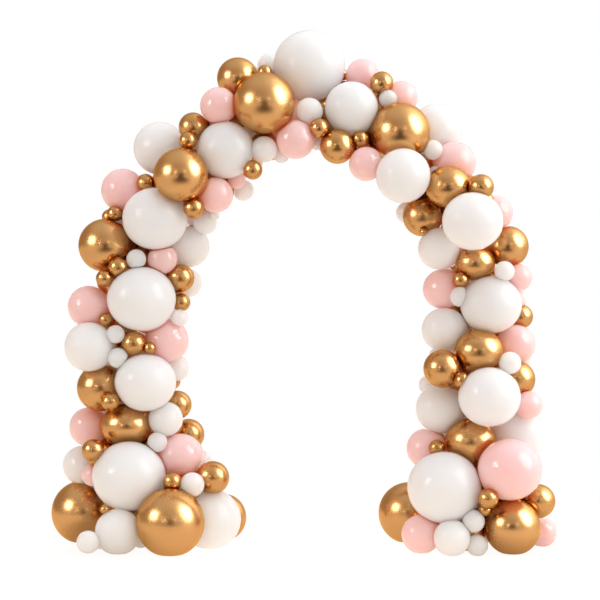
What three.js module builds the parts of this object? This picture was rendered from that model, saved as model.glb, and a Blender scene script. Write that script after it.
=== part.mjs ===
// A free-standing balloon arch: white, blush pink and gold latex balloons of many sizes, tied
// into one thick garland that rises from a heaped foot, bows over and comes down to the other.
// Millimetres, +Z up. +X runs across the arch and +Y from its front to its back. The origin is
// on the floor, in the middle of the arch. Rows below are in centimetres, as balloons are sold.

import * as THREE from "three";

// Driving dimensions of the garland's middle line, in centimetres.
const FOOT_SPREAD = 80; // from the middle of the arch to the line's ends on the floor
const LEG_SPREAD = 90; // the same, where the legs end and the bow springs
const SPRING_HEIGHT = 126;
const CROWN_HEIGHT = 228;

const MM_PER_CM = 10;
const PRESS = 0.06; // how far two tied balloons are pressed together, of their two radii
const SLIDE_STEP = 0.1;
const GAP = 0.03; // left between the flats of two balloons that touch
const NEARBY = 1.2; // balloons closer than this many times their two radii get a shared plane

// A balloon's solid is a round of flat faces: so many to a ring, with rings at these angles
// from its lowest point. The big ones and those on the floor are finer, and the floor
// flattens a balloon up to its first ring.
const BIG_DIAMETER = 31;
const FINE = { sectors: 16, rings: [0, 15, 40, 65, 90, 115, 140, 165, 180] };
const PLAIN = { sectors: 12, rings: [0, 30, 60, 90, 120, 150, 180] };
const FLOOR_STAND = Math.cos(THREE.MathUtils.degToRad(FINE.rings[1]));

const finishes = {
  white: { color: 0xf1ece8, roughness: 0.25, metalness: 0 },
  pink: { color: 0xf3bdb6, roughness: 0.25, metalness: 0 },
  gold: { color: 0xc08a50, roughness: 0.2, metalness: 1 },
};

// The balloons, layer by layer. A row is a name, the diameter, the place along the garland, how
// far out from its middle line (towards the inside of the arch is negative), and, where its
// neighbours squeeze it, its height as a share of its width. On the left and right the place
// is measured up from that side's foot, and at the crown from the top, rightwards.
// "bed" is the depth where a layer starts, and "outward" the way it is then slid until it
// only presses on what is there already: -1 to the front, 1 to the back.
// Many of these places weren't chosen by hand: a separate helper program converted them from
// measured ones, and they were then rounded or adjusted.
const layers = [
  {
    bed: 28,
    outward: -1,
    rows: [["left_foot_gold_1", 25, 0, -37]],
  },
  {
    bed: 20,
    outward: -1,
    rows: [
      ["left_foot_gold_2", 33, 0, 37],
      ["right_foot_gold_1", 32, 0, -25],
    ],
  },
  {
    bed: 6,
    outward: -1,
    rows: [
      ["left_shoulder_white_1", 27, 204, 14],
      ["left_leg_pink_1", 22, 179, 18],
      ["left_leg_white_1", 21, 165, -25],
      ["right_shoulder_white_1", 26, 214, 16],
      ["right_shoulder_pink_1", 22, 197, 10],
      ["right_foot_pink_1", 15, 0, 44],
      ["crown_white_1", 37, 2, 21],
    ],
  },
  {
    bed: -1,
    outward: -1,
    rows: [
      ["left_foot_white_1", 31, 0, -32],
      ["left_foot_pink_1", 24, 46, -22, 0.92],
      ["left_leg_gold_3", 27, 64, 4, 0.82],
      ["left_leg_gold_2", 24, 84, 16],
      ["left_leg_white_2", 25, 105, 20],
      ["left_leg_pink_3", 22, 107, -19],
      ["left_leg_pink_2", 21, 125, 21],
      ["left_leg_gold_1", 27, 153, 16],
      ["crown_gold_1", 21, -28, 20],
      ["right_shoulder_gold_2", 23, 189, -1, 0.9],
      ["right_leg_gold_1", 20, 182, -18],
      ["right_leg_white_1", 21, 160, -17],
      ["right_leg_gold_2", 21, 152, 18],
      ["right_leg_pink_1", 21, 135, -18],
      ["right_leg_white_3", 23, 113, -18],
      ["right_leg_pink_2", 20, 106, 19],
      ["right_leg_gold_3", 25, 102, -1, 0.9],
      ["right_leg_white_5", 25, 71, -18],
      ["right_leg_white_6", 26, 61, 23],
      ["right_leg_gold_5", 26, 56, -2, 0.9],
    ],
  },
  {
    bed: -10,
    outward: -1,
    rows: [
      ["left_foot_white_3", 37, 39, 4, 0.95],
      ["left_leg_white_4", 31, 86, -8, 0.94],
      ["left_leg_white_3", 35, 129, -7, 0.94],
      ["left_shoulder_white_3", 33, 173, -5, 0.95],
      ["left_shoulder_gold_1", 27, 200, -6],
      ["left_shoulder_white_2", 29, 228, -11],
      ["crown_gold_2", 31, -20, 2],
      ["crown_white_2", 27, 24, 1],
      ["right_shoulder_gold_1", 30, 226, 1],
      ["right_shoulder_white_2", 27, 209, -16],
      ["right_leg_white_2", 30, 168, 1, 0.95],
      ["right_leg_white_4", 31, 126, 5, 0.94],
      ["right_leg_white_7", 31, 80, 4, 0.95],
      ["right_foot_pink_2", 32, 45, 17, 0.95],
      ["right_foot_white_1", 37, 32, -14, 0.97],
    ],
  },
  {
    bed: -20,
    outward: -1,
    rows: [
      ["left_foot_white_2", 23, 0, 14],
      ["left_foot_gold_3", 34, 0, -13],
      ["right_foot_gold_2", 28, 0, 25],
    ],
  },
  {
    bed: 10,
    outward: 1,
    rows: [
      ["left_foot_white_4", 30, 0, -4],
      ["left_leg_gold_4", 30, 48, -2],
      ["left_leg_white_5", 30, 97, 0],
      ["left_leg_gold_5", 30, 146, -2],
      ["left_shoulder_pink_1", 28, 201, 0],
      ["crown_white_3", 28, -30, 2],
      ["crown_gold_3", 28, 20, 4],
      ["right_shoulder_white_3", 28, 211, 0],
      ["right_leg_pink_3", 30, 161, 0],
      ["right_leg_gold_4", 30, 111, 0],
      ["right_leg_white_8", 30, 62, 0],
      ["right_foot_white_2", 30, 0, 8],
    ],
  },
];

// The garland's middle line, in the plane of the arch: a leg, the bow and the other leg.
function garlandLine() {
  const line = new THREE.Path();
  line.moveTo(-FOOT_SPREAD, 0);
  line.quadraticCurveTo(-LEG_SPREAD, SPRING_HEIGHT / 2, -LEG_SPREAD, SPRING_HEIGHT);
  line.absellipse(0, SPRING_HEIGHT, LEG_SPREAD, CROWN_HEIGHT - SPRING_HEIGHT, Math.PI, 0, true);
  line.quadraticCurveTo(LEG_SPREAD, SPRING_HEIGHT / 2, FOOT_SPREAD, 0);
  return line;
}

// How far along the whole line a row's place is, from 0 at the left foot to 1 at the right.
function shareOfLine(name, place, length) {
  if (name.startsWith("left")) return place / length;
  if (name.startsWith("right")) return 1 - place / length;
  return 0.5 + place / length;
}

// A balloon's middle in the plane of the arch, at its layer's bed, and its half sizes.
function balloonAt(row, bed, line) {
  const [name, diameter, place, out, squeeze = 1] = row;
  const share = shareOfLine(name, place, line.getLength());
  const point = line.getPoint(share);
  const along = line.getTangent(share);
  const half = new THREE.Vector3(1, 1, squeeze).multiplyScalar(diameter / 2);
  const middle = new THREE.Vector3(point.x - along.y * out, bed, point.y + along.x * out);
  const onFloor = middle.z < half.z * FLOOR_STAND;
  if (onFloor) middle.z = half.z * FLOOR_STAND;
  return { name, diameter, half, middle, onFloor };
}

// From a balloon's middle to its skin, the way that a unit vector points.
function reach(balloon, direction) {
  return 1 / direction.clone().divide(balloon.half).length();
}

// The way from one balloon to another, how far apart they are, and how far each reaches.
function between(one, other) {
  const direction = other.middle.clone().sub(one.middle);
  const apart = direction.length();
  direction.normalize();
  return { direction, apart, near: reach(one, direction), far: reach(other, direction) };
}

function pressesTooHard(one, other) {
  const { apart, near, far } = between(one, other);
  return apart < (near + far) * (1 - PRESS);
}

// Lays every row in turn, and slides it outward until it only presses on those before it.
function layGarland() {
  const line = garlandLine();
  const laid = [];
  for (const { bed, outward, rows } of layers) {
    for (const row of rows) {
      const balloon = balloonAt(row, bed, line);
      while (laid.some((other) => pressesTooHard(balloon, other))) {
        balloon.middle.y += outward * SLIDE_STEP;
      }
      laid.push(balloon);
    }
  }
  return laid;
}

// The planes that flatten a balloon: the floor, and one shared with each balloon nearby.
// A plane is the way it faces, and how far it is from the balloon's middle.
function flatsOf(balloon, balloons) {
  const flats = [{ facing: new THREE.Vector3(0, 0, -1), distance: balloon.middle.z }];
  for (const other of balloons) {
    if (other === balloon) continue;
    const { direction, apart, near, far } = between(balloon, other);
    if (apart > (near + far) * NEARBY) continue;
    flats.push({ facing: direction, distance: (apart + near - far - GAP) / 2 });
  }
  return flats;
}

// Draws a corner that lies past a plane straight back towards the middle, as far as the plane.
function pressFlat(corner, flats) {
  for (const { facing, distance } of flats) {
    const past = corner.dot(facing);
    if (past > distance) corner.multiplyScalar(distance / past);
  }
}

// A round of radius 1, spun about the upright axis.
function roundGeometry({ sectors, rings }) {
  const angles = rings.map(THREE.MathUtils.degToRad);
  const profile = angles.map((angle) => new THREE.Vector2(Math.sin(angle), -Math.cos(angle)));
  return new THREE.LatheGeometry(profile, sectors).rotateX(Math.PI / 2);
}

function balloonGeometry(balloon, flats) {
  const isFine = balloon.diameter >= BIG_DIAMETER || balloon.onFloor;
  const geometry = roundGeometry(isFine ? FINE : PLAIN);
  geometry.scale(...balloon.half.toArray());
  const corners = geometry.getAttribute("position");
  const corner = new THREE.Vector3();
  for (let index = 0; index < corners.count; index += 1) {
    corner.fromBufferAttribute(corners, index);
    pressFlat(corner, flats);
    corners.setXYZ(index, corner.x, corner.y, corner.z);
  }
  geometry.scale(MM_PER_CM, MM_PER_CM, MM_PER_CM);
  geometry.computeVertexNormals();
  return geometry;
}

// A balloon's finish is the word before its number: left_leg_gold_2 is gold.
function balloonMesh(balloon, balloons) {
  const finish = balloon.name.split("_").at(-2);
  const material = new THREE.MeshStandardMaterial({ name: finish, ...finishes[finish] });
  const mesh = new THREE.Mesh(balloonGeometry(balloon, flatsOf(balloon, balloons)), material);
  mesh.name = balloon.name;
  mesh.position.copy(balloon.middle).multiplyScalar(MM_PER_CM);
  return mesh;
}

// Moves the arch sideways and in depth, so that the origin is under the middle of its box.
function centreOnFloor(group) {
  const middle = new THREE.Box3().setFromObject(group, true).getCenter(new THREE.Vector3());
  for (const mesh of group.children) {
    mesh.position.x -= middle.x;
    mesh.position.y -= middle.y;
  }
}

const arch = new THREE.Group();
const balloons = layGarland();
for (const balloon of balloons) arch.add(balloonMesh(balloon, balloons));
centreOnFloor(arch);

export default arch;
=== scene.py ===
# %% [markdown]
# # A balloon arch
#
# An organic balloon arch is one thick garland of latex balloons in many sizes. The big ones are
# tied together by their necks into clusters, the clusters are pushed up against each other until
# they hold, and small balloons are then tied or glued on wherever a gap is left. This arch is
# white, blush pink and chrome gold.
#
# The frame holds the big balloons as plain solids that say where each one is. This lesson makes
# every one of them again as real latex, ties the small balloons on to them, fills the hollows
# inside and at the back, and lights the whole arch.

# %% Load the frame
import math
from dataclasses import dataclass

import bmesh
import bpy
import numpy as np
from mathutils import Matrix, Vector
from mathutils.geometry import interpolate_bezier


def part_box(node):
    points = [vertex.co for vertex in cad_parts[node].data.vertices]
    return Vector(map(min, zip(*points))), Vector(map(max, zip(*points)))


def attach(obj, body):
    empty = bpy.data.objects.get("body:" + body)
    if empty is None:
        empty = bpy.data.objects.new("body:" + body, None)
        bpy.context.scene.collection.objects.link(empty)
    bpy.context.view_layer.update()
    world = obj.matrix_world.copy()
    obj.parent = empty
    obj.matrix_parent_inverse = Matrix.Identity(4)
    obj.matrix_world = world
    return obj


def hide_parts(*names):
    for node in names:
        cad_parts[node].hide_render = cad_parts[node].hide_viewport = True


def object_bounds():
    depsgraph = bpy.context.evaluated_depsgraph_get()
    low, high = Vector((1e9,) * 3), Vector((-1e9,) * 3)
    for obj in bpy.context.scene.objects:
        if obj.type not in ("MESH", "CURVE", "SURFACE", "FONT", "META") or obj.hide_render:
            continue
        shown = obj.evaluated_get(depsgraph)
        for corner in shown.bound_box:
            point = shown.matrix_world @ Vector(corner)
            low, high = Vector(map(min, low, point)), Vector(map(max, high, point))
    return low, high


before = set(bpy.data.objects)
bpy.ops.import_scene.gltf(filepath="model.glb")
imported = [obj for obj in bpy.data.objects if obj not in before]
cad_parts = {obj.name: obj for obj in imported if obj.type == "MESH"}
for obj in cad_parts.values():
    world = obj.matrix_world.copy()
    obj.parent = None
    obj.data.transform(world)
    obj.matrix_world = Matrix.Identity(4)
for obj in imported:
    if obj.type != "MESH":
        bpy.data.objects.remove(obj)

cad_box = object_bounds()
box_low, box_high = cad_box
print("the frame is", [round(side, 3) for side in box_high - box_low], "metres")

# %% [markdown]
# ## The big balloons
#
# A pumped balloon that nothing squeezes is close to a sphere, and one between two neighbours is a
# little lower than it is wide, so its place and its three half sizes say all that is needed
# before it is modelled. They could be typed in again, but the frame already has them: each solid
# is read back from its box, and then the two can't disagree. A balloon that stands on the floor
# is flat underneath, so its middle is measured down from its top. The skin is then made a little
# fuller than the solid, because a solid of flat faces lies just inside the round it stands for.

# %% Read each big balloon back from its solid
CM = 0.01
FLOOR_STAND = math.cos(math.radians(15))  # a middle's height over the floor, of its half height
ON_FLOOR = 0.1 * CM  # a solid that starts lower than this stands on the floor
FULLNESS = 0.2 * CM  # how far the latex bulges past its plain size, all round


@dataclass
class Balloon:
    name: str
    centre: Vector
    half: Vector
    node: str = ""

    @property
    def finish(self):
        """The word before its number: left_leg_gold_2 is gold."""
        return self.name.split("_")[-2]

    def reach(self, direction):
        """From its middle to its skin, the way that a unit vector points."""
        return 1 / Vector([way / half for way, half in zip(direction, self.half)]).length


def balloon_of_node(node):
    low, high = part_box(node)
    half = (high - low) / 2
    middle = (high + low) / 2
    if low.z < ON_FLOOR:
        half.z = (high.z - low.z) / (1 + FLOOR_STAND)
    middle.z = high.z - half.z
    return Balloon(node, middle, half + Vector((FULLNESS,) * 3), node)


balloons = {node: balloon_of_node(node) for node in sorted(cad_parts)}
print(len(balloons), "big balloons")

# %% [markdown]
# ## The small balloons
#
# The small ones are what makes such an arch look rich. Each is tied to one other balloon, mostly
# a bigger one, so a row names that balloon and says on which side of it the small one sits: its
# bearing as on a clock seen from the front, in degrees from the top and rightwards, and its lean
# towards the viewer, or to the back where it is negative. The distance isn't given. It follows
# from the two sizes, because tied balloons press on each other a little.
#
# Giving each a place in metres would also work, but then moving a big balloon would tear its
# small ones off. Here they go with it.
#
# Most of the bearings and leans below weren't chosen by hand. Separate helper programs worked
# them out from places noted by eye, in whole degrees, so this table is not an example to copy. A
# better lesson would give each small balloon its host and let the script find the seat.

# %% Tie the small balloons on
PRESS = 0.06  # how far two tied balloons are pressed together, of their two radii

# A row is a name, the diameter in centimetres, the balloon it is tied to, the bearing, the lean
# and, where its neighbours squeeze it, its height as a share of its width.
small_rows = [
    ("left_foot_small_white_1", 20, "left_foot_gold_2", 0, 8),
    ("left_foot_small_gold_1", 16.5, "left_foot_white_1", 4, 14),
    ("left_foot_small_gold_2", 16, "left_foot_pink_1", 20, -58),
    ("left_foot_small_white_2", 10, "left_foot_pink_1", 110, -45),
    ("left_foot_small_gold_3", 9, "left_foot_gold_3", 2, -14),
    ("left_foot_small_white_3", 12, "left_foot_gold_3", 30, -15),
    ("left_foot_small_white_4", 10, "left_foot_pink_1", 305, 35),
    ("left_foot_small_gold_4", 11, "left_foot_white_3", 307, 8),
    ("left_foot_small_pink_1", 11.5, "left_foot_white_3", 268, -32),
    ("left_foot_small_white_5", 11, "left_foot_white_2", 254, 25),
    ("left_foot_small_white_6", 10.5, "left_foot_white_2", 113, -46),
    ("left_foot_small_gold_5", 4.5, "left_foot_white_2", 330, 5),
    ("left_leg_small_gold_1", 9, "left_leg_pink_1", 75, 30),
    ("left_leg_small_gold_2", 8, "left_leg_pink_1", 195, 27),
    ("left_leg_small_gold_3", 7.5, "left_leg_small_gold_2", 250, -60),
    ("left_leg_small_white_1", 12, "left_leg_white_1", 35, 20),
    ("left_leg_small_white_2", 5, "left_leg_small_white_1", 55, 40),
    ("left_leg_small_pink_1", 20, "left_leg_gold_3", 266, -24),
    ("left_leg_small_white_3", 17.5, "left_leg_gold_3", 80, 12),
    ("left_leg_small_gold_4", 14.5, "left_leg_small_white_3", 38, -58),
    ("left_leg_small_gold_5", 9, "left_leg_gold_2", 135, 55),
    ("left_leg_small_white_4", 10, "left_leg_white_2", 110, 18),
    ("left_leg_small_white_5", 9, "left_leg_white_2", 65, 20),
    ("left_leg_small_gold_6", 12.5, "left_leg_small_white_4", 47, -18),
    ("left_leg_small_white_6", 13, "left_leg_pink_3", 164, -26),
    ("left_leg_small_gold_7", 9.5, "left_leg_small_white_6", 205, -46),
    ("left_leg_small_white_7", 8.5, "left_leg_pink_3", 30, 23),
    ("left_leg_small_gold_8", 6, "left_leg_pink_3", 245, 50),
    ("left_leg_small_gold_9", 7, "left_leg_pink_2", 125, 30),
    ("left_leg_small_gold_10", 10, "left_leg_gold_1", 145, 38),
    ("left_leg_small_gold_11", 8.5, "left_leg_small_gold_10", 232, -5),
    ("left_leg_small_white_8", 9.8, "left_leg_white_3", 353, 7),
    ("left_leg_small_gold_12", 14, "left_leg_white_3", 61, -18),
    ("left_leg_small_white_9", 14.5, "left_leg_small_gold_12", 131, -75),
    ("left_leg_small_gold_13", 9, "left_leg_white_3", 95, -20),
    ("left_leg_small_pink_2", 15, "left_leg_white_3", 27, -8),
    ("left_shoulder_small_pink_1", 17.5, "left_shoulder_gold_1", 119, -24),
    ("left_shoulder_small_gold_1", 10, "left_shoulder_gold_1", 159, -5),
    ("left_shoulder_small_gold_2", 14.5, "left_shoulder_white_2", 306, -10),
    ("left_shoulder_small_gold_3", 9, "left_shoulder_small_gold_2", 195, 45),
    ("left_shoulder_small_white_1", 13, "left_shoulder_white_2", 90, 10),
    ("left_shoulder_small_gold_4", 9.5, "left_shoulder_white_2", 127, 17),
    ("left_shoulder_small_pink_2", 9, "left_shoulder_white_2", 160, -30),
    ("left_shoulder_small_white_2", 10.5, "left_shoulder_small_pink_2", 146, -54),
    ("crown_small_white_1", 12, "crown_white_1", 275, -26),
    ("crown_small_gold_1", 7, "crown_white_1", 100, -35),
    ("crown_small_pink_1", 18.5, "crown_gold_2", 268, -9),
    ("crown_small_pink_2", 19.5, "crown_gold_2", 139, -5),
    ("crown_small_white_2", 8, "crown_small_pink_2", 226, -40),
    ("crown_small_gold_2", 7, "crown_gold_2", 0, -23),
    ("crown_small_gold_3", 17.5, "crown_white_2", 200, 11),
    ("crown_small_white_3", 7, "crown_small_gold_3", 282, -28),
    ("crown_small_gold_4", 9, "crown_white_2", 165, 14),
    ("crown_small_pink_3", 17, "crown_gold_3", 32, 33),
    ("crown_small_white_4", 13.5, "crown_small_pink_2", 26, 0),
    ("crown_small_gold_5", 9.5, "crown_small_pink_2", 66, 20),
    ("right_shoulder_small_white_1", 9.8, "right_shoulder_pink_1", 298, 32),
    ("right_shoulder_small_gold_1", 12.5, "right_shoulder_gold_2", 92, 22),
    ("right_shoulder_small_white_2", 6, "right_shoulder_gold_2", 324, -42),
    ("right_shoulder_small_pink_1", 17, "right_shoulder_gold_1", 3, -32),
    ("right_shoulder_small_gold_2", 11.5, "right_shoulder_small_pink_1", 304, 28),
    ("right_shoulder_small_white_3", 9, "right_shoulder_gold_1", 341, -9),
    ("right_shoulder_small_pink_2", 17, "right_shoulder_white_2", 290, -23),
    ("right_leg_small_white_1", 10.5, "right_leg_gold_1", 290, -57),
    ("right_leg_small_gold_1", 4, "right_leg_gold_1", 180, 45),
    ("right_leg_small_white_2", 10, "right_leg_pink_1", 119, 57),
    ("right_leg_small_gold_2", 8, "right_leg_pink_1", 60, 50),
    ("right_leg_small_white_3", 5, "right_leg_white_3", 203, 7),
    ("right_leg_small_gold_3", 18.5, "right_leg_pink_2", 180, 15),
    ("right_leg_small_gold_4", 12.5, "right_leg_pink_2", 13, -21),
    ("right_leg_small_white_4", 9, "right_leg_pink_2", 144, -42),
    ("right_leg_small_gold_5", 19, "right_leg_gold_3", 246, 8),
    ("right_leg_small_white_5", 11, "right_leg_gold_3", 110, 25),
    ("right_leg_small_white_6", 9.5, "right_leg_white_5", 335, -38),
    ("right_leg_small_pink_1", 14, "right_leg_white_6", 13, 33),
    ("right_leg_small_pink_2", 13.5, "right_leg_white_4", 47, -14),
    ("right_leg_small_white_7", 10, "right_leg_white_4", 20, 18),
    ("right_leg_small_white_8", 10.5, "right_leg_white_4", 76, -38),
    ("right_leg_small_gold_6", 8.3, "right_leg_small_gold_5", 121, 34),
    ("right_leg_small_gold_7", 20, "right_leg_pink_3", 170, 55, 0.87),
    ("right_leg_small_pink_3", 17.5, "right_leg_pink_3", 47, 36),
    ("right_foot_small_gold_1", 10, "right_foot_pink_2", 221, 25),
    ("right_foot_small_gold_2", 6, "right_foot_small_gold_1", 191, -36),
    ("right_foot_small_pink_1", 20, "right_foot_white_1", 337, -43),
    ("right_foot_small_pink_2", 19.5, "right_foot_white_1", 206, -4),
    ("right_foot_small_white_1", 18, "right_foot_white_1", 173, 20),
    ("right_foot_small_white_2", 10.5, "right_foot_small_white_1", 110, -8),
    ("right_foot_small_white_3", 11, "right_foot_white_1", 139, 23),
    ("right_foot_small_gold_3", 8, "right_foot_white_1", 351, -22),
    ("right_foot_small_gold_4", 17, "right_foot_gold_2", 51, -30),
]


def tied_on(name, diameter, host_name, bearing, lean, squeeze=1):
    host = balloons[host_name]
    radius = diameter / 2 * CM + FULLNESS
    bearing, lean = math.radians(bearing), math.radians(lean)
    level = math.cos(lean)
    way = Vector((math.sin(bearing) * level, -math.sin(lean), math.cos(bearing) * level))
    centre = host.centre + way * (host.reach(way) + radius) * (1 - PRESS)
    centre.z = max(centre.z, radius * FLOOR_STAND)
    return Balloon(name, centre, Vector((radius, radius, radius * squeeze)))


for row in small_rows:
    balloons[row[0]] = tied_on(*row)
print(len(small_rows), "small balloons tied on")

# %% [markdown]
# ## The hollows
#
# Behind the balloons that face the viewer a real garland is just as full, because a cluster is
# made all round. Nobody plans those balloons one by one: the maker pushes one in wherever it
# finds room. The script does the same. It looks for nests, which are the places where a balloon
# of a given size would rest on three others at once, and keeps a nest if the balloon has room
# there, stays inside the frame's box, and doesn't widen the outline as seen from the front.
#
# Three spheres of known size have two such points, one on each side of the plane through their
# middles, and school geometry gives both. It is worked out for all near threes at once.

# %% Find the nests for a balloon of one size
EYE = Vector((-0.012, -8.5, 1.278))  # the viewer, in front of the arch


def rows_of(vectors):
    return np.array([list(vector) for vector in vectors])


def near_threes(middles, radii, radius):
    """Every three balloons that are close enough for one of this radius to touch them all."""
    apart = np.linalg.norm(middles[:, None] - middles[None], axis=2)
    near = apart < radii[:, None] + radii[None] + 2 * radius
    threes = []
    for one in range(len(middles)):
        for two in np.flatnonzero(near[one, one + 1:]) + one + 1:
            for three in np.flatnonzero(near[one] & near[two]):
                if three > two:
                    threes.append((one, two, three))
    return np.array(threes).T


def nests(middles, halves, radius):
    """Both places where a balloon presses on three others, for every near three."""
    radii = halves.mean(axis=1)
    threes = near_threes(middles, radii, radius)
    one, two, three = (middles[picked] for picked in threes)
    first, second, third = ((radii[picked] + radius) * (1 - PRESS) for picked in threes)
    span = np.linalg.norm(two - one, axis=1)
    along = (two - one) / span[:, None]
    slide = ((three - one) * along).sum(axis=1)
    aside = three - one - slide[:, None] * along
    rise = np.linalg.norm(aside, axis=1)
    aside /= rise[:, None]
    across = (first**2 - second**2 + span**2) / (2 * span)
    up = (first**2 - third**2 + slide**2 + rise**2 - 2 * slide * across) / (2 * rise)
    out_squared = first**2 - across**2 - up**2
    real = out_squared > 0
    foot = (one + across[:, None] * along + up[:, None] * aside)[real]
    out = (np.cross(along, aside) * np.sqrt(np.abs(out_squared))[:, None])[real]
    return np.concatenate([foot + out, foot - out])


def middles_and_halves():
    """Where each balloon's middle is and its half sizes, a row for each."""
    middles = rows_of(balloon.centre for balloon in balloons.values())
    return middles, rows_of(balloon.half for balloon in balloons.values())


found = nests(*middles_and_halves(), 10 * CM)
print(len(found), "nests for a balloon 20 cm across, before any is ruled out")

# %% [markdown]
# Most nests are no use: another balloon is already there, or the new one would stick out. Whether
# it would is judged as a viewer would. Its outline and its neighbours' are drawn on the plane of
# the arch, and a few points on it are tested against them. A point is fine if a neighbour covers
# it, or if it lies in a narrow gap, where the points all round it are covered.

# %% Rule out the nests with no room and those that would stick out
LEAST_APART = 0.9  # of their two radii, from a filling to any other balloon
GAP_WIDTH = 4 * CM  # how far round a point has to be covered, for it to lie in a narrow gap


def ring(count, share):
    turns = np.linspace(0, math.tau, count, endpoint=False)
    return share * np.stack([np.sin(turns), np.cos(turns)], axis=1)


# Points on an outline of radius 1: its middle, a ring half way out and one just inside its rim.
disc_points = np.concatenate([np.zeros((1, 2)), ring(8, 0.55), ring(16, 0.97)])


def has_room(places, radius, middles, halves):
    ways = places[:, None] - middles[None]
    apart = np.linalg.norm(ways, axis=2)
    reach = apart / np.linalg.norm(ways / halves[None], axis=2)
    free = (apart > (reach + radius) * LEAST_APART).all(axis=1)
    low = np.array([box_low.x + radius, box_low.y + radius, radius * FLOOR_STAND])
    high = np.array([side - radius for side in box_high])
    return free & (places > low).all(axis=1) & (places < high).all(axis=1)


def outlines(middles, halves):
    """Where each balloon appears on the plane of the arch, and its half width and half height."""
    nearness = EYE.y / (EYE.y - middles[:, 1])
    eye = np.array([EYE.x, EYE.z])
    spots = eye + (middles[:, [0, 2]] - eye) * nearness[:, None]
    return spots, halves[:, [0, 2]] * nearness[:, None]


def covered(points, spots, sizes):
    """Which points lie inside at least one outline. The points may have any number of axes."""
    ways = (points[..., None, :] - spots) / sizes
    return ((ways**2).sum(axis=-1) < 1).any(axis=-1)


def stays_inside(place, radius, spots, sizes):
    spot, size = outlines(place[None], np.full((1, 3), radius))
    points = spot + size * disc_points
    open_points = points[~covered(points, spots, sizes)]
    return covered(open_points[:, None] + ring(8, GAP_WIDTH), spots, sizes).all()


print(len(disc_points), "points are tested on each outline")

# %% [markdown]
# A balloon deep inside that nobody can see would be wasted, so the last test is how much of it
# shows: through the gaps at the front, or from the sides, the back, above and below. The views
# are spread evenly over the sphere by the golden angle.

# %% Measure how much of a balloon shows
GOLDEN_ANGLE = math.pi * (3 - math.sqrt(5))
VIEWS = 28
MOST_FRONTAL = -0.35  # a view from further to the front than this is left out
SLANT = np.array([0.31, 0.17, 0.93])  # any way that isn't along a view


def spread_directions(count):
    """Unit vectors spread evenly over the sphere."""
    heights = [1 - 2 * (index + 0.5) / count for index in range(count)]
    levels = [math.sqrt(1 - height * height) for height in heights]
    turns = [index * GOLDEN_ANGLE for index in range(count)]
    return [
        Vector((level * math.cos(turn), level * math.sin(turn), height))
        for height, level, turn in zip(heights, levels, turns)
    ]


side_views = [np.array(way) for way in spread_directions(VIEWS) if way.y > MOST_FRONTAL]


def shown_share(place, radius, middles, radii, way):
    """How much of a balloon's outline nothing covers, as seen from the way that is given."""
    flat = place - place.dot(way) * way
    side = np.cross(way, SLANT)
    side /= np.linalg.norm(side)
    rise = np.cross(way, side)
    ahead = (middles - place) @ way > 0
    spots = np.stack([middles @ side, middles @ rise], axis=1)[ahead]
    points = np.array([flat @ side, flat @ rise]) + radius * disc_points
    return 1 - covered(points, spots, radii[ahead][:, None]).mean()


print(len(side_views), "views from the sides, the back, above and below")

# %% [markdown]
# Fillings that glint through the gaps at the front are gold, which makes the gaps look warm and
# deep. The rest take the finish that is rarest among their neighbours, so that the back is as
# mixed as the front.

# %% Choose what a filling is for, and its finish
LEAST_SEEN = 0.015  # of its outline, from the front, that makes a filling worth it there
MOST_SEEN = 0.1  # and the share that it has to stay under
TOUCHING = 1.1  # how close the middles of neighbours are, of their two radii
finish_order = ["white", "pink", "gold"]


def rarest_finish(place, radius):
    """The finish that fewest of the balloons that touch this one have."""
    counts = dict.fromkeys(finish_order, 0)
    for other in balloons.values():
        if (other.centre - place).length < (max(other.half) + radius) * TOUCHING:
            counts[other.finish] += 1
    return min(finish_order, key=lambda finish: counts[finish])


def add_filling(place, radius, part):
    place = Vector(place)
    finish = "gold" if part == "core" else rarest_finish(place, radius)
    number = 1 + sum(name.startswith(f"{part}_{finish}_") for name in balloons)
    name = f"{part}_{finish}_{number}"
    balloons[name] = Balloon(name, place, Vector((radius,) * 3))


def part_filled(place, radius, middles, halves, least_shown):
    """The part of the arch that a filling here would be for, or None if it is no use."""
    spots, sizes = outlines(middles, halves)
    if not stays_inside(place, radius, spots, sizes):
        return None
    nearer = middles[:, 1] < place[1]
    spot, size = outlines(place[None], np.full((1, 3), radius))
    seen = 1 - covered(spot + size * disc_points, spots[nearer], sizes[nearer]).mean()
    if LEAST_SEEN < seen < MOST_SEEN:
        return "core"
    radii = halves.mean(axis=1)
    shown = (shown_share(place, radius, middles, radii, way) for way in side_views)
    if seen < MOST_SEEN and any(share > least_shown for share in shown):
        return "back"
    return None


print("a filling is part of the core if it glints at the front, and of the back if not")

# %% [markdown]
# Big fillings go in before small ones, and the outermost before the ones deeper in. The smallest
# size is put in only where it glints. All of these are made up: nobody can see from the front
# what the inside and the back of such an arch really hold.

# %% Fill the hollows
NEVER = 2.0  # more than a balloon can show
filling_rows = [(25, 0.25), (20, 0.3), (15, 0.4), (10, NEVER)]  # a diameter, and what has to show
MIDDLE_DEPTH = 5 * CM  # how far back the middle of the garland is taken to be


def fill_hollows(diameter, least_shown):
    radius = diameter / 2 * CM
    middles, halves = middles_and_halves()
    places = nests(middles, halves, radius)
    places = places[has_room(places, radius, middles, halves)]
    depths = -np.abs(places[:, 1] - MIDDLE_DEPTH)
    added = 0
    for place in places[np.lexsort(np.round([places[:, 2], places[:, 0], depths], 4))]:
        if not has_room(place[None], radius, middles, halves)[0]:
            continue
        part = part_filled(place, radius, middles, halves, least_shown)
        if part:
            add_filling(place, radius, part)
            middles = np.concatenate([middles, place[None]])
            halves = np.concatenate([halves, np.full((1, 3), radius)])
            added += 1
    return added


for diameter, least_shown in filling_rows:
    print(fill_hollows(diameter, least_shown), "balloons of", diameter, "cm in the hollows")
print(len(balloons), "balloons in all")

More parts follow.
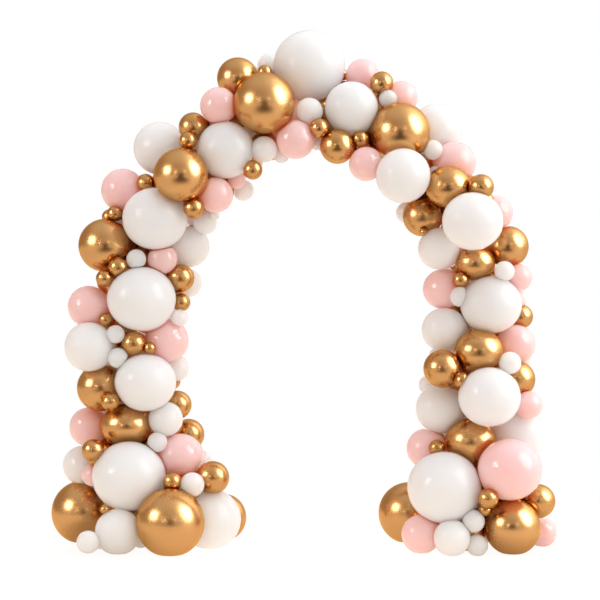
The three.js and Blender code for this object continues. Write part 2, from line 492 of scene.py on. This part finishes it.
# %% [markdown]
# ## How balloons press on each other
#
# Two balloons that touch share a flat patch, and the floor makes one too. The patch lies in a
# plane across the line between their middles, so each balloon needs only the planes around it:
# which way each one faces and how far away it is. The skin is later drawn in to those planes.
#
# How deep each of the two gives way is a choice made for the look. The outer one of a pair stays
# rounder, and so does the bigger one, because a dent shows most there. By the pressure in them
# the smaller one would be the stiffer.

# %% Find the flat patches of every balloon
NEARBY = 1.2  # balloons closer than this many times their two radii get a shared plane
GAP = 0.04 * CM  # left between the two sides of a shared patch
LEAST_GIVE = 0.08  # of the overlap, the least that a balloon gives up for being further out


def give_share(balloon, other, apart):
    """How much of the overlap this balloon gives up: less if it is further out, or bigger."""
    out = abs(balloon.centre.y - MIDDLE_DEPTH) - abs(other.centre.y - MIDDLE_DEPTH)
    share = min(max(0.5 - out / apart, LEAST_GIVE), 1 - LEAST_GIVE)
    size = (sum(balloon.half) / sum(other.half)) ** 2
    return share / (share + (1 - share) * size**2)


flats_of = {}
for balloon in balloons.values():
    flats = [(Vector((0, 0, -1)), balloon.centre.z)]
    for other in balloons.values():
        way = other.centre - balloon.centre
        apart = way.length
        if other is balloon or apart > (max(balloon.half) + max(other.half)) * NEARBY:
            continue
        way.normalize()
        near, far = balloon.reach(way), other.reach(-way)
        if apart < (near + far) * NEARBY:
            overlap = near + far + GAP - apart
            share = give_share(balloon, other, apart) if overlap > 0 else 0.5
            flats.append((way, near - overlap * share))
    flats_of[balloon.name] = flats
print(sum(len(flats) for flats in flats_of.values()) // 2, "shared planes")

# %% [markdown]
# The neck is tied off and tucked away between the neighbours. To find such a place for it, many
# directions are tried, and the best is the one with the most room before the next plane that
# also points in towards the garland.

# %% Choose which way each neck points
NECK_ROOM = 1.3  # how far out the tied neck comes, of the radius
directions = spread_directions(150)


def neck_direction(balloon):
    flats = flats_of[balloon.name]
    inward = sum((facing for facing, distance in flats[1:]), Vector()).normalized()
    radius = sum(balloon.half) / 3

    def worth(direction):
        room = NECK_ROOM
        for facing, distance in flats:
            ahead = direction.dot(facing)
            if ahead > 0:
                room = min(room, distance / ahead / radius)
        return room + direction.dot(inward)

    return max(directions, key=worth)


necks = {balloon.name: neck_direction(balloon) for balloon in balloons.values()}
print("necks that point to the back:", sum(way.y > 0 for way in necks.values()), "of", len(necks))

# %% [markdown]
# ## The shape of one balloon
#
# A round latex balloon is a sphere that draws in to a narrow neck. The neck is knotted, and past
# the knot the tail flares to a rolled lip. All of that is round about one axis, so its outline is
# drawn once and spun: an arc for the body, one curve down to the neck, an arc for the knot, and a
# few points for the tail. Stretching a ready sphere would leave the neck coarse, and spinning
# puts a ring of faces exactly where the outline has a point.
#
# The same outline is spun three times, finer for bigger balloons.

# %% Spin the outline
# All lengths are of the radius, and a height below the middle is negative.
BODY_END = math.radians(150)  # round from the top
BODY_PULL = 0.3  # how far the curve to the neck first follows the body
NECK_PULL = 0.09  # and how far it comes straight down to the neck
NECK_RADIUS = 0.05
NECK_END = -1.13
KNOT_RADIUS = 0.05
KNOT_TURNS = (40, 90, 140)  # degrees
LIP_RADIUS = 0.085
LIP_ROLL = 0.01  # half the height of the rolled lip
LIP_EDGE = 0.9 * LIP_RADIUS
TAIL_END = -1.27
TAIL_HOLLOW = 0.03


def outline(body_points, curve_points):
    """From the top of a balloon of radius 1, down its body and neck, to the end of its tail."""
    angles = [BODY_END * index / body_points for index in range(body_points)]
    points = [Vector((math.sin(angle), 0, math.cos(angle))) for angle in angles]
    leave = Vector((math.sin(BODY_END), 0, math.cos(BODY_END)))
    slope = Vector((math.cos(BODY_END), 0, -math.sin(BODY_END)))
    arrive = Vector((NECK_RADIUS, 0, NECK_END))
    above = arrive + Vector((0, 0, NECK_PULL))
    points += interpolate_bezier(leave, leave + slope * BODY_PULL, above, arrive, curve_points)
    for degrees in KNOT_TURNS:
        turn = math.radians(degrees)
        out = NECK_RADIUS + KNOT_RADIUS * math.sin(turn)
        points.append(Vector((out, 0, NECK_END - KNOT_RADIUS * (1 - math.cos(turn)))))
    points.append(Vector((LIP_EDGE, 0, TAIL_END)))
    points.append(Vector((LIP_RADIUS, 0, TAIL_END - LIP_ROLL)))
    points.append(Vector((LIP_EDGE, 0, TAIL_END - 2 * LIP_ROLL)))
    points.append(Vector((0, 0, TAIL_END + TAIL_HOLLOW)))
    return points


def mesh_of(name, solid):
    mesh = bpy.data.meshes.new(name)
    solid.to_mesh(mesh)
    solid.free()
    return mesh


def spun_balloon(name, sectors, body_points, curve_points):
    """A balloon of radius 1 about the origin, with its neck down."""
    solid = bmesh.new()
    corners = [solid.verts.new(point) for point in outline(body_points, curve_points)]
    edges = [solid.edges.new(pair) for pair in zip(corners, corners[1:])]
    bmesh.ops.spin(
        solid, geom=corners + edges, cent=(0, 0, 0), axis=(0, 0, 1), angle=math.tau,
        steps=sectors, use_merge=True, use_duplicate=False,
    )
    bmesh.ops.remove_doubles(solid, verts=solid.verts, dist=1e-5)
    bmesh.ops.recalc_face_normals(solid, faces=solid.faces)
    for face in solid.faces:
        face.smooth = True
    mesh = mesh_of(name, solid)
    print(name, "has", len(mesh.polygons), "faces")
    return mesh


shapes = [
    (26 * CM, spun_balloon("big_shape", 48, 24, 8)),
    (14 * CM, spun_balloon("middle_shape", 36, 18, 7)),
    (0, spun_balloon("small_shape", 24, 13, 5)),
]

# %% [markdown]
# ## Shader maths in Python
#
# A material is a net of nodes. Written out node by node it is long and hard to read, so one small
# class stands for a node's output and takes Python's own signs: mask * 0.8 adds a Math node that
# multiplies, and 1 - mask one that takes mask from 1. A second class adds any other node in one
# call.

# %% A class for a node's output, and one for the net
class Signal:
    """The output of a node, which works in sums with numbers and with other signals."""

    def __init__(self, net, socket):
        self.net = net
        self.socket = socket

    def sum_of(self, operation, first, second):
        inputs = {"Value": first, "Value_001": second}
        return self.net.add("ShaderNodeMath", {"operation": operation}, inputs)

    def __add__(self, other):
        return self.sum_of("ADD", self, other)

    def __sub__(self, other):
        return self.sum_of("SUBTRACT", self, other)

    def __rsub__(self, other):
        return self.sum_of("SUBTRACT", other, self)

    def __mul__(self, other):
        return self.sum_of("MULTIPLY", self, other)

    __radd__ = __add__
    __rmul__ = __mul__


def socket_named(sockets, name):
    return next(socket for socket in sockets if name in (socket.identifier, socket.name))


class Net:
    """The nodes of one material or of the world."""

    def __init__(self, owner):
        owner.use_nodes = True
        self.tree = owner.node_tree
        self.tree.nodes.clear()

    def add(self, kind, settings=None, inputs=None, output=None):
        """Adds a node: first its settings, then a value or a signal for each socket."""
        node = self.tree.nodes.new(kind)
        for name, value in (settings or {}).items():
            setattr(node, name, value)
        for name, value in (inputs or {}).items():
            socket = socket_named(node.inputs, name)
            if isinstance(value, Signal):
                self.tree.links.new(value.socket, socket)
            else:
                socket.default_value = value
        if not node.outputs:
            return None
        return Signal(self, socket_named(node.outputs, output) if output else node.outputs[0])

    def mix(self, share, first, second):
        """From the first colour at 0 to the second at 1."""
        inputs = {"Factor_Float": share, "A_Color": first, "B_Color": second}
        settings = {"data_type": "RGBA"}
        return self.add("ShaderNodeMix", settings, inputs, "Result_Color")

    def ramp(self, value, low, high):
        """0 where the value is below low, 1 where it is above high, and smooth between."""
        inputs = {"Value": value, "From Min": low, "From Max": high}
        settings = {"interpolation_type": "SMOOTHSTEP"}
        return self.add("ShaderNodeMapRange", settings, inputs)


print("signals and nets are ready")

# %% [markdown]
# ## Latex
#
# All three finishes are the same rubber. What they share is worked out by one function: cloudy
# patches about ten centimetres wide, where the skin was stretched a little more or less, a fine
# mottling of a few millimetres, and the neck, where the rubber is hardly stretched and so its
# colour is deep. The patterns read Object coordinates, so no two balloons look the same. Two
# attributes that each balloon carries tell the rest: how near the neck a point is, and how thick
# the rubber is there. A balloon that is blown less full has thicker rubber, and the small ones
# are taken to be blown that way. In the white, the thick tone is much lighter than the thin one.
# That is partly the tone of thick rubber and partly painted light: it lifts the small balloons
# that sit deep in the garland out of their shade.

# %% The patterns that all latex has
NECK_ATTRIBUTE = "towards_neck"
THICKNESS_ATTRIBUTE = "thickness_of_rubber"
CLOUD_SCALE = 7.0  # patches to a metre
MOTTLING_SCALE = 90.0
NECK_SPAN = (0.9, 0.995)  # where the colour of the neck starts and where it is full
NECK_SHARE = 0.8  # of the neck's own tone, where it is full
BUMP_DISTANCE = 0.1 * CM


def noise(net, place, scale, detail=2.0):
    inputs = {"Vector": place, "Scale": scale, "Detail": detail, "Roughness": 0.5}
    return net.add("ShaderNodeTexNoise", None, inputs, "Fac")


def carried(net, attribute):
    settings = {"attribute_type": "GEOMETRY", "attribute_name": attribute}
    return net.add("ShaderNodeAttribute", settings, None, "Fac")


def latex_patterns(net):
    place = net.add("ShaderNodeTexCoord", None, None, "Object")
    clouds = net.ramp(noise(net, place, CLOUD_SCALE), 0.3, 0.7)
    mottling = noise(net, place, MOTTLING_SCALE, detail=3.0)
    neck = net.ramp(carried(net, NECK_ATTRIBUTE), *NECK_SPAN)
    thickness = carried(net, THICKNESS_ATTRIBUTE) * 0.8 + clouds * 0.12 + mottling * 0.08
    return clouds, mottling, neck, thickness


def fine_bump(net, mottling, strength):
    inputs = {"Strength": strength, "Distance": BUMP_DISTANCE, "Height": mottling}
    return net.add("ShaderNodeBump", None, inputs)


def rgb(red, green, blue):
    return (red, green, blue, 1.0)


print("latex patterns are ready")

# %% [markdown]
# ### White and pink latex
#
# Plain latex has its pigment in the rubber, so light goes a little way in and comes out soft, and
# the surface itself is smooth and has a clear shine. The Principled shader does both: subsurface
# for the depth and a low roughness for the shine. The depth here is much more than that of real
# rubber, so that a whole balloon shades softly. The cloudy patches mix two close tones, and the
# same mottling that changes the colour also bends the shine by a very fine bump.
#
# Daylight also passes right through the thin skin and fills the balloon. A real skin in front of
# air would show that, but these are closed solids, so a faint even glow stands in for it. It
# belongs to the material, so it shows in the dark as well.

# %% Make the white and the pink
def pigment_latex(name, thin, thick, neck_tone, depth, depth_tone, gloss, inner_glow):
    """Latex that goes from its thin tone to its thick tone, and to a deeper tone at the neck."""
    material = bpy.data.materials.new(name)
    net = Net(material)
    clouds, mottling, neck, thickness = latex_patterns(net)
    body = net.mix(thickness, thin, thick)
    shine = net.add(
        "ShaderNodeBsdfPrincipled",
        None,
        {
            "Base Color": net.mix(neck * NECK_SHARE, body, neck_tone),
            "Roughness": clouds * 0.04 + mottling * 0.04 + neck * 0.15 + 0.07,
            "Normal": fine_bump(net, mottling, 0.02),
            "Specular IOR Level": gloss,
            "Subsurface Weight": 0.9,
            "Subsurface Radius": depth_tone,
            "Subsurface Scale": depth,
            "Emission Color": rgb(*inner_glow),
            "Emission Strength": 1.0,
        },
    )
    net.add("ShaderNodeOutputMaterial", None, {"Surface": shine})
    return material


finishes = {
    "white": pigment_latex(
        "white_latex",
        # The thick white is lighter partly as painted light, which lifts the small balloons out of
        # their shade.
        thin=rgb(0.775, 0.81, 0.85), thick=rgb(0.94, 0.93, 0.92), neck_tone=rgb(0.76, 0.69, 0.63),
        depth=0.3, depth_tone=(1.0, 0.8, 0.7), gloss=0.16, inner_glow=(0.05, 0.042, 0.036),
    ),
    "pink": pigment_latex(
        "pink_latex",
        thin=rgb(0.88, 0.65, 0.675), thick=rgb(0.865, 0.585, 0.59), neck_tone=rgb(0.80, 0.36, 0.33),
        depth=0.2, depth_tone=(1.0, 0.5, 0.45), gloss=0.36, inner_glow=(0.10, 0.02, 0.006),
    ),
}
print("pigment finishes:", list(finishes))

# %% [markdown]
# ### Chrome gold latex
#
# Chrome balloons carry a fine metal powder, so they mirror the room softly. Metallic at 1 gives
# that, with the gold in Base Color. What makes it rubber and not brass is that the mirror is
# uneven: the roughness wanders over each balloon, and the powder is thin where it was stretched
# most, which turns the gold a little paler. The tint makes the rim warm instead of white.

# %% Make the gold
gold_latex = bpy.data.materials.new("gold_latex")
net = Net(gold_latex)
clouds, mottling, neck, thickness = latex_patterns(net)
body = net.mix(thickness, rgb(0.63, 0.35, 0.14), rgb(0.555, 0.295, 0.11))
shine = net.add(
    "ShaderNodeBsdfPrincipled",
    None,
    {
        "Base Color": net.mix(neck * NECK_SHARE, body, rgb(0.42, 0.18, 0.06)),
        "Metallic": 1.0,
        "Roughness": clouds * 0.03 + mottling * 0.04 + neck * 0.2 + 0.23,
        "Normal": fine_bump(net, mottling, 0.03),
        "Specular Tint": rgb(1.0, 0.8, 0.55),
    },
)
net.add("ShaderNodeOutputMaterial", None, {"Surface": shine})
finishes["gold"] = gold_latex
print("finishes:", list(finishes))

# %% [markdown]
# ## Every balloon in its place
#
# Each balloon is a copy of a spun shape, turned so that its neck points the chosen way, given its
# three half sizes, and drawn in to its planes. A hard cut at a plane would leave a crease that no
# balloon has. So the distance to the skin and the distances to the planes go through a soft
# minimum, which follows the nearest of them and rounds the corner where two are about equal.

# %% Press a balloon flat where it touches
SOFTNESS = 0.028  # how wide the rounded rim of a flat patch is, of the radius
LEAST_AHEAD = 0.05  # a plane that a point faces less squarely than this is left out
NO_PLANE = 10.0  # further off than any plane
FULLY_STRETCHED = 28 * CM  # a balloon this wide or wider has the thinnest rubber
NECK_THICKENING = 0.25
SLACK_THICKENING = 1.25


def pressed(points, flats, radius):
    """Points about a balloon's own middle, drawn in to its planes."""
    reach = np.linalg.norm(points, axis=1)
    ways = points / np.maximum(reach, 1e-9)[:, None]
    facings = rows_of(facing for facing, distance in flats)
    distances = np.array([distance for facing, distance in flats])
    ahead = ways @ facings.T
    limits = distances / np.maximum(ahead, LEAST_AHEAD)
    limits = np.where(ahead > LEAST_AHEAD, limits, NO_PLANE)
    choices = np.concatenate([reach[:, None], limits], axis=1)
    nearest = choices.min(axis=1)
    soft = SOFTNESS * radius
    spread = np.exp((nearest[:, None] - choices) / soft).sum(axis=1)
    return points * ((nearest - soft * np.log(spread)) / np.maximum(reach, 1e-9))[:, None]


def balloon_mesh(balloon):
    widest = max(balloon.half) * 2
    shape = next(shape for least, shape in shapes if widest >= least)
    mesh = shape.copy()
    mesh.name = balloon.name
    points = np.empty(len(mesh.vertices) * 3)
    mesh.vertices.foreach_get("co", points)
    points = points.reshape(-1, 3)
    lengths = np.linalg.norm(points, axis=1)
    towards_neck = (1 - points[:, 2] / lengths) / 2
    # Slack, small balloons count as thick, and in the white the thick tone also carries painted
    # light.
    slackness = max((FULLY_STRETCHED - widest) / FULLY_STRETCHED, 0)
    thickness = NECK_THICKENING * towards_neck + SLACK_THICKENING * slackness
    for name, values in [(NECK_ATTRIBUTE, towards_neck), (THICKNESS_ATTRIBUTE, thickness)]:
        mesh.attributes.new(name, "FLOAT", "POINT").data.foreach_set("value", values)
    turn = Vector((0, 0, -1)).rotation_difference(necks[balloon.name]).to_matrix()
    points = points @ np.array(turn).T * np.array(balloon.half)
    points = pressed(points, flats_of[balloon.name], sum(balloon.half) / 3)
    mesh.vertices.foreach_set("co", (points + np.array(balloon.centre)).ravel())
    mesh.update()
    return mesh


def add_balloon(balloon):
    mesh = balloon_mesh(balloon)
    mesh.materials.append(finishes[balloon.finish])
    piece = bpy.data.objects.new(f"{balloon.name}_latex", mesh)
    bpy.context.scene.collection.objects.link(piece)
    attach(piece, "root")
    if balloon.node:
        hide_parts(balloon.node)
    return piece


pieces = [add_balloon(balloon) for balloon in balloons.values()]
for _, shape in shapes:
    bpy.data.meshes.remove(shape)
print(len(pieces), "pieces with", sum(len(piece.data.polygons) for piece in pieces), "faces")

# %% [markdown]
# ## The floor
#
# The arch stands on a plain pale floor, so wide that its edge is lost. Around the arch it is
# a matt floor that takes the shade right under the balloons. Further out it turns into an even
# white glow as bright as the air of the room, so that no horizon shows.
#
# There are two floors in the same place, and this is a trick, not how a studio is built. The
# camera sees a white one. The balloons are lit by a warmer one and mirror it, and it has darker
# and brighter patches that the camera never sees. One floor can't be plain white to look at and
# also colour the undersides of the balloons this much.

# %% Lay the floor
FLOOR_RADIUS = 60.0
MATT_SPAN = (1.6, 3.2)  # how far out the matt floor starts to turn into the glow, and ends
# Each soft patch is round: its middle, and how far from there it starts to fade and ends.
# The warm floor's own light is dimmer at the feet, a painted shade under the balloons, brighter by
# the window, a painted pool of its light, and dark in front of the viewer, a painted dark patch
# that the chrome mirrors.
FEET_PATCHES = ((0.95, 0, 0), 0.15, 0.55)
WINDOW_PATCH = ((5, -3, 0), 2.0, 6.0)
VIEWER_PATCH = ((0, -5.5, 0), 1.5, 4.5)


def add_disc(name, radius, material):
    disc = bmesh.new()
    bmesh.ops.create_circle(disc, cap_ends=True, segments=96, radius=radius)
    mesh = mesh_of(name, disc)
    mesh.materials.append(material)
    piece = bpy.data.objects.new(name, mesh)
    bpy.context.scene.collection.objects.link(piece)
    return piece


def with_patch(net, place, patch, inside, outside):
    """A colour of the floor that changes to another in a soft round patch."""
    middle, fade_start, fade_end = patch
    inputs = {"Vector": place, "Vector_001": middle}
    away = net.add("ShaderNodeVectorMath", {"operation": "DISTANCE"}, inputs, "Value")
    return net.mix(net.ramp(away, fade_start, fade_end), rgb(*inside), outside)


def floor_of(name, paint, light, far_light, shade_at_feet=None, dark_by_viewer=None, light_by_window=None):
    """A matt floor with a light of its own, which turns into an even glow further out."""
    material = bpy.data.materials.new(name)
    net = Net(material)
    place = net.add("ShaderNodeTexCoord", None, None, "Object")
    tone = net.mix(noise(net, place, 0.6), rgb(*paint), rgb(*(part * 0.95 for part in paint)))
    near_tone = rgb(*light)
    if shade_at_feet:
        folded = net.add("ShaderNodeVectorMath", {"operation": "ABSOLUTE"}, {"Vector": place})
        near_tone = with_patch(net, folded, FEET_PATCHES, shade_at_feet, near_tone)
    far_tone = rgb(*far_light)
    if light_by_window:
        far_tone = with_patch(net, place, WINDOW_PATCH, light_by_window, far_tone)
    if dark_by_viewer:
        far_tone = with_patch(net, place, VIEWER_PATCH, dark_by_viewer, far_tone)
    inputs = {"Base Color": tone, "Roughness": 0.8}
    inputs |= {"Emission Color": near_tone, "Emission Strength": 1.0}
    matt = net.add("ShaderNodeBsdfPrincipled", None, inputs)
    glow = net.add("ShaderNodeEmission", None, {"Color": far_tone, "Strength": 1.0})
    away = net.add("ShaderNodeVectorMath", {"operation": "LENGTH"}, {"Vector": place}, "Value")
    inputs = {"Fac": net.ramp(away, *MATT_SPAN), "Shader": matt, "Shader_001": glow}
    surface = net.add("ShaderNodeMixShader", None, inputs)
    net.add("ShaderNodeOutputMaterial", None, {"Surface": surface})
    return add_disc(name, FLOOR_RADIUS, material)


grey = (0.25, 0.25, 0.25)
floor = floor_of("floor", grey, (0.82, 0.82, 0.82), (1, 1, 1))
floor.visible_diffuse = False
floor.visible_glossy = False
warm_floor = floor_of(
    "warm_floor", grey, (0.92, 0.79, 0.66), (1.0, 0.89, 0.78),
    shade_at_feet=(0.4, 0.32, 0.25), dark_by_viewer=(0.08, 0.04, 0.02), light_by_window=(1.25, 1.15, 1.05),
)
warm_floor.visible_camera = False
print("the floor is", 2 * FLOOR_RADIUS, "metres across")

# %% [markdown]
# ## The studio
#
# Chrome balloons show whatever is around them, so the room matters as much as the lamps. It is
# warm and dim on the left, pale on the right and overhead, and brightest high up on the right,
# where the window is. The camera sees plain white instead of it.

# %% Paint the room
world = bpy.context.scene.world or bpy.data.worlds.new("room")
bpy.context.scene.world = world
net = Net(world)
way = net.add("ShaderNodeTexCoord", None, None, "Generated")


def towards(x, y, z):
    """How far the way that is looked at agrees with this one, from -1 to 1."""
    inputs = {"Vector": way, "Vector_001": Vector((x, y, z)).normalized()}
    return net.add("ShaderNodeVectorMath", {"operation": "DOT_PRODUCT"}, inputs, "Value")


left_wall, right_wall = rgb(0.50, 0.385, 0.30), rgb(0.80, 0.77, 0.74)
ceiling = rgb(0.85, 0.84, 0.85)
walls = net.mix(net.ramp(towards(1, 0, 0), -0.9, 0.9), left_wall, right_wall)
walls = net.mix(net.ramp(towards(0, 0, 1), 0.5, 1.0), walls, ceiling)
to_window = towards(0.75, 0.15, 0.62)
wide_glow, bright_glow = net.ramp(to_window, 0.45, 1.0), net.ramp(to_window, 0.78, 1.0)
inputs = {"Vector": walls, "Scale": wide_glow * 0.5 + bright_glow * 1.5 + 1.0}
room = net.add("ShaderNodeVectorMath", {"operation": "SCALE"}, inputs)
lit_room = net.add("ShaderNodeBackground", None, {"Color": room, "Strength": 1.0})
backdrop = net.add("ShaderNodeBackground", None, {"Color": rgb(1, 1, 1), "Strength": 1.0})
direct = net.add("ShaderNodeLightPath", None, None, "Is Camera Ray")
inputs = {"Fac": direct, "Shader": lit_room, "Shader_001": backdrop}
net.add("ShaderNodeOutputWorld", None, {"Surface": net.add("ShaderNodeMixShader", None, inputs)})
print("the room is painted")

# %% [markdown]
# One very large soft window on the right, a square soft box on the left and a little lamp on
# either side of the viewer are mirrored in the latex and shed no light on it. Four others do
# that and aren't mirrored: one by the window, one overhead, one on the left and a faint one in
# the opening. Splitting them lets the sparkle and the shading be set one at a time.

# %% Hang the lights
ARCH_MIDDLE = Vector((0, 0, 1.3))
COOL, WARM = (0.86, 0.95, 1), (1, 0.95, 0.93)


def soft_light(
    name, way, distance, width, height, brightness, tone=(1, 1, 1), mirrored=True, shape="RECTANGLE"
):
    """A soft box that faces the arch. It is either mirrored by the latex or sheds light on it.

    All lengths are in metres, and the brightness is that of its face, so that a light can be
    moved or made bigger and still look as bright in the chrome.
    """
    area = width * height * (math.pi / 4 if shape == "ELLIPSE" else 1)
    lamp = bpy.data.lights.new(name, "AREA")
    lamp.shape = shape
    lamp.color = tone
    lamp.size = width
    lamp.size_y = height
    lamp.energy = brightness * math.pi * area
    light = bpy.data.objects.new(name, lamp)
    way = Vector(way).normalized()
    light.location = ARCH_MIDDLE + way * distance
    light.rotation_euler = way.to_track_quat("Z", "Y").to_euler()
    light.visible_camera = False
    light.visible_glossy = mirrored
    light.visible_diffuse = not mirrored
    bpy.context.scene.collection.objects.link(light)
    return light


soft_light("window", (0.82, -0.34, 0.47), 10.0, 7.2, 10.0, 7.2, shape="ELLIPSE")
soft_light("window_light", (0.93, -0.25, 0.3), 10.0, 4.0, 4.0, 1.5, COOL, mirrored=False)
soft_light("top_light", (0.05, -0.4, 0.9), 10.0, 5.0, 5.0, 2.5, (0.70, 0.88, 1), mirrored=False)
soft_light("opening_light", (0, -1, 0), 1.3, 0.6, 0.6, 0.6, (0.95, 0.98, 1), mirrored=False)
soft_light("left_light", (-0.93, -0.3, 0.2), 10.0, 4.0, 4.0, 1.9, WARM, mirrored=False)
soft_light("left_softbox", (-0.81, -0.49, 0.31), 10.0, 3.8, 3.8, 10.0)
soft_light("left_lamp", (-0.34, -0.92, 0.18), 14.0, 1.0, 1.0, 13.0)
soft_light("right_lamp", (0.30, -0.92, 0.24), 14.0, 0.9, 0.9, 9.0)
print("the lights are hung")

# %% [markdown]
# The middle of every chrome balloon mirrors what is straight in front of it, and there it is dark.
# A studio hangs up a black card for this. It fades out towards its rim, and shows only where
# something mirrors it: the camera looks through it, and it neither lights nor shades anything.

# %% Set up the black card
CARD_FADE = (0.2, 0.5)  # how far from its middle it starts to fade and is gone, of its sides


def soft_card(name, width, height, distance, middle_height, tone):
    """An upright card in front of the arch that fades out towards its rim."""
    material = bpy.data.materials.new(name)
    net = Net(material)
    place = net.add("ShaderNodeTexCoord", None, None, "Object")
    away = net.add("ShaderNodeVectorMath", {"operation": "LENGTH"}, {"Vector": place}, "Value")
    dark = net.add("ShaderNodeEmission", None, {"Color": rgb(*tone), "Strength": 1.0})
    clear = net.add("ShaderNodeBsdfTransparent")
    inputs = {"Fac": net.ramp(away, *CARD_FADE), "Shader": dark, "Shader_001": clear}
    surface = net.add("ShaderNodeMixShader", None, inputs)
    net.add("ShaderNodeOutputMaterial", None, {"Surface": surface})
    card = bmesh.new()
    bmesh.ops.create_grid(card, x_segments=1, y_segments=1, size=0.5)
    mesh = mesh_of(name, card)
    mesh.materials.append(material)
    piece = bpy.data.objects.new(name, mesh)
    piece.scale = (width, height, 1)
    piece.location = (0, -distance, middle_height)
    piece.rotation_euler = (math.radians(90), 0, 0)
    piece.visible_camera = False
    piece.visible_diffuse = False
    piece.visible_shadow = False
    bpy.context.scene.collection.objects.link(piece)
    return piece


soft_card("dark_card", width=4.8, height=4.6, distance=8.0, middle_height=1.2, tone=(0.02, 0, 0))
print("a dark card, which shows only in reflections")

# %% [markdown]
# ## The camera
#
# The viewer stands well back and almost straight in front, about level with the middle of the
# arch, with a long lens that hardly distorts the outer balloons.

# %% Set up the camera
LENS = 99.2  # millimetres
lens = bpy.data.cameras.new("camera")
lens.lens = LENS
camera = bpy.data.objects.new("camera", lens)
camera.location = EYE
camera.rotation_euler = (math.radians(90), 0, 0)
bpy.context.scene.collection.objects.link(camera)
bpy.context.scene.camera = camera
bpy.context.scene.view_settings.view_transform = "Standard"
print("the camera is", round(-EYE.y, 2), "metres away")
